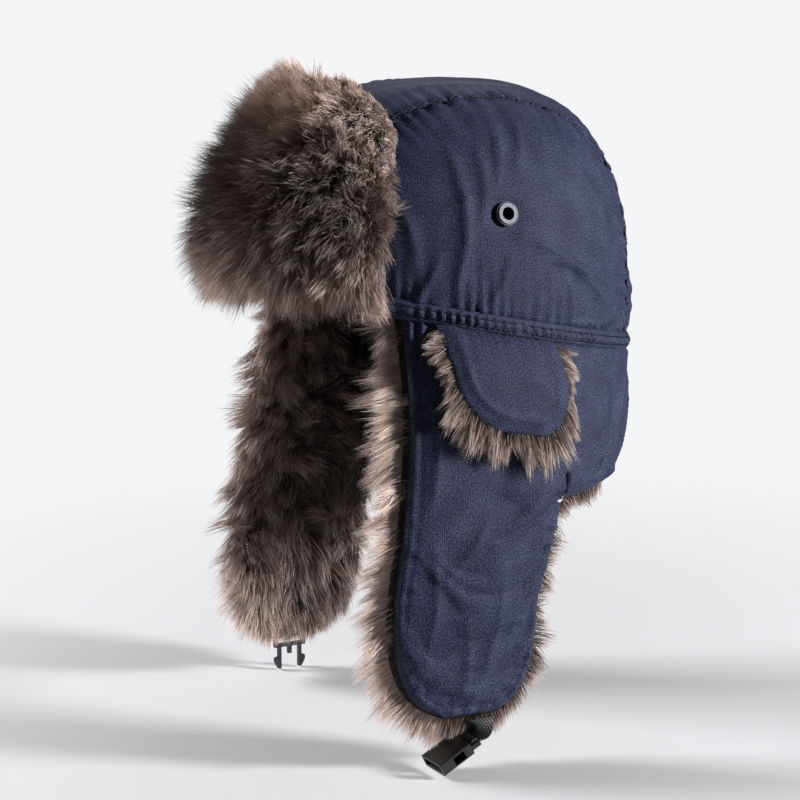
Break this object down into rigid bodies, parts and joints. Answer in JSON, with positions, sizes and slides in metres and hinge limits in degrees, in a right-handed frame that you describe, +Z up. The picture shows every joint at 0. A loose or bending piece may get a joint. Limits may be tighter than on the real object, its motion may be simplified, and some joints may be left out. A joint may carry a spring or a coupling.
{
  "type": "trapper hat",
  "caption": "Padded winter hat with fur-lined folding ear flaps, a fur front flap, ear-hole covers and a chin strap with a side-release buckle.",
  "frame": {"origin": "middle of the head opening, in the plane where the crown meets the band", "axes": "+Z up through the crown, -Y the way the wearer faces, +X to the wearer's left"},
  "size_m": [0.2239, 0.2452, 0.3524],
  "materials": {
    "shell_nylon": "plain-woven navy nylon with a soft sheen",
    "fur_pile": "long faux fur, dark brown at the root and beige-grey at the tips",
    "wadding": "white polyester wadding",
    "lining_satin": "black quilted polyester lining",
    "elastic": "white woven elastic",
    "stiffener_felt": "pressed felt interlining",
    "eyelet_metal": "gunmetal lacquer with a paler worn face",
    "webbing": "black polypropylene webbing",
    "buckle_plastic": "moulded black acetal with a fine texture"
  },
  "bodies": {
    "hat": {"crown_centre_panel": "shell_nylon", "crown_side_panel_left": "shell_nylon", "crown_side_panel_right": "shell_nylon", "crown_wadding_centre": "wadding", "crown_wadding_left": "wadding", "crown_wadding_right": "wadding", "crown_lining_centre": "lining_satin", "crown_lining_left": "lining_satin", "crown_lining_right": "lining_satin", "band_casing": "shell_nylon", "band_elastic": "elastic", "eyelet_left": "eyelet_metal", "eyelet_right": "eyelet_metal", "eyelet_washer_left": "eyelet_metal", "eyelet_washer_right": "eyelet_metal", "skirt_shell": "shell_nylon", "ear_wadding_left": "wadding", "ear_wadding_right": "wadding", "neck_wadding": "wadding", "ear_fur_left": "fur_pile", "ear_fur_right": "fur_pile", "neck_fur": "fur_pile"},
    "front_flap": {"front_flap_shell": "shell_nylon", "front_flap_stiffener": "stiffener_felt", "front_flap_fur": "fur_pile"},
    "ear_cover_left": {"ear_cover_shell_left": "shell_nylon", "ear_cover_fur_left": "fur_pile"},
    "ear_cover_right": {"ear_cover_shell_right": "shell_nylon", "ear_cover_fur_right": "fur_pile"},
    "ear_flap_left": {"ear_flap_shell_left": "shell_nylon", "ear_flap_wadding_left": "wadding", "ear_flap_fur_left": "fur_pile"},
    "ear_flap_right": {"ear_flap_shell_right": "shell_nylon", "ear_flap_wadding_right": "wadding", "ear_flap_fur_right": "fur_pile"},
    "strap_left": {"strap_left": "webbing"},
    "strap_right": {"strap_right": "webbing"},
    "buckle_socket": {"buckle_socket": "buckle_plastic"},
    "buckle_plug": {"buckle_plug": "buckle_plastic"},
    "plug_arm_front": {"plug_arm_front": "buckle_plastic"},
    "plug_arm_rear": {"plug_arm_rear": "buckle_plastic"}
  },
  "joints": [
    {"name": "front_flap_fold", "type": "hinge", "parent": "hat", "child": "front_flap", "pos_m": [0, -0.114, 0.022], "axis": [1, 0, 0], "range_deg": [0, 90]},
    {"name": "ear_cover_left_lift", "type": "hinge", "parent": "hat", "child": "ear_cover_left", "pos_m": [0.09451, -0.01524, -0.00576], "axis": [-0.1295, -0.9723, 0.1945], "range_deg": [0, 95]},
    {"name": "ear_cover_right_lift", "type": "hinge", "parent": "hat", "child": "ear_cover_right", "pos_m": [-0.09451, -0.01524, -0.00576], "axis": [-0.1295, 0.9723, -0.1945], "range_deg": [0, 95]},
    {"name": "ear_flap_left_fold", "type": "hinge", "parent": "hat", "child": "ear_flap_left", "pos_m": [0.10412, -0.0245, -0.095], "axis": [0, -1, 0], "range_deg": [-12, 150]},
    {"name": "ear_flap_right_fold", "type": "hinge", "parent": "hat", "child": "ear_flap_right", "pos_m": [-0.10412, -0.0245, -0.095], "axis": [0, 1, 0], "range_deg": [-12, 150]},
    {"name": "strap_left_swing", "type": "hinge", "parent": "ear_flap_left", "child": "strap_left", "pos_m": [0.10315, -0.03, -0.2058], "axis": [0, -1, 0], "range_deg": [-30, 45]},
    {"name": "strap_right_swing", "type": "hinge", "parent": "ear_flap_right", "child": "strap_right", "pos_m": [-0.10315, -0.04, -0.2058], "axis": [0, 1, 0], "range_deg": [-30, 45]},
    {"name": "socket_swing", "type": "hinge", "parent": "strap_left", "child": "buckle_socket", "pos_m": [0.10315, -0.03732, -0.21607], "axis": [1, 0, 0], "range_deg": [-40, 70]},
    {"name": "plug_swing", "type": "hinge", "parent": "strap_right", "child": "buckle_plug", "pos_m": [-0.10315, -0.04, -0.2103], "axis": [0, 1, 0], "range_deg": [-45, 75]},
    {"name": "plug_arm_front_flex", "type": "hinge", "parent": "buckle_plug", "child": "plug_arm_front", "pos_m": [-0.10315, -0.0466, -0.21835], "axis": [1, 0, 0], "range_deg": [0, 10], "stiffness_Nm_per_rad": 0.005},
    {"name": "plug_arm_rear_flex", "type": "hinge", "parent": "buckle_plug", "child": "plug_arm_rear", "pos_m": [-0.10315, -0.0334, -0.21835], "axis": [-1, 0, 0], "range_deg": [0, 10], "stiffness_Nm_per_rad": 0.005}
  ]
}
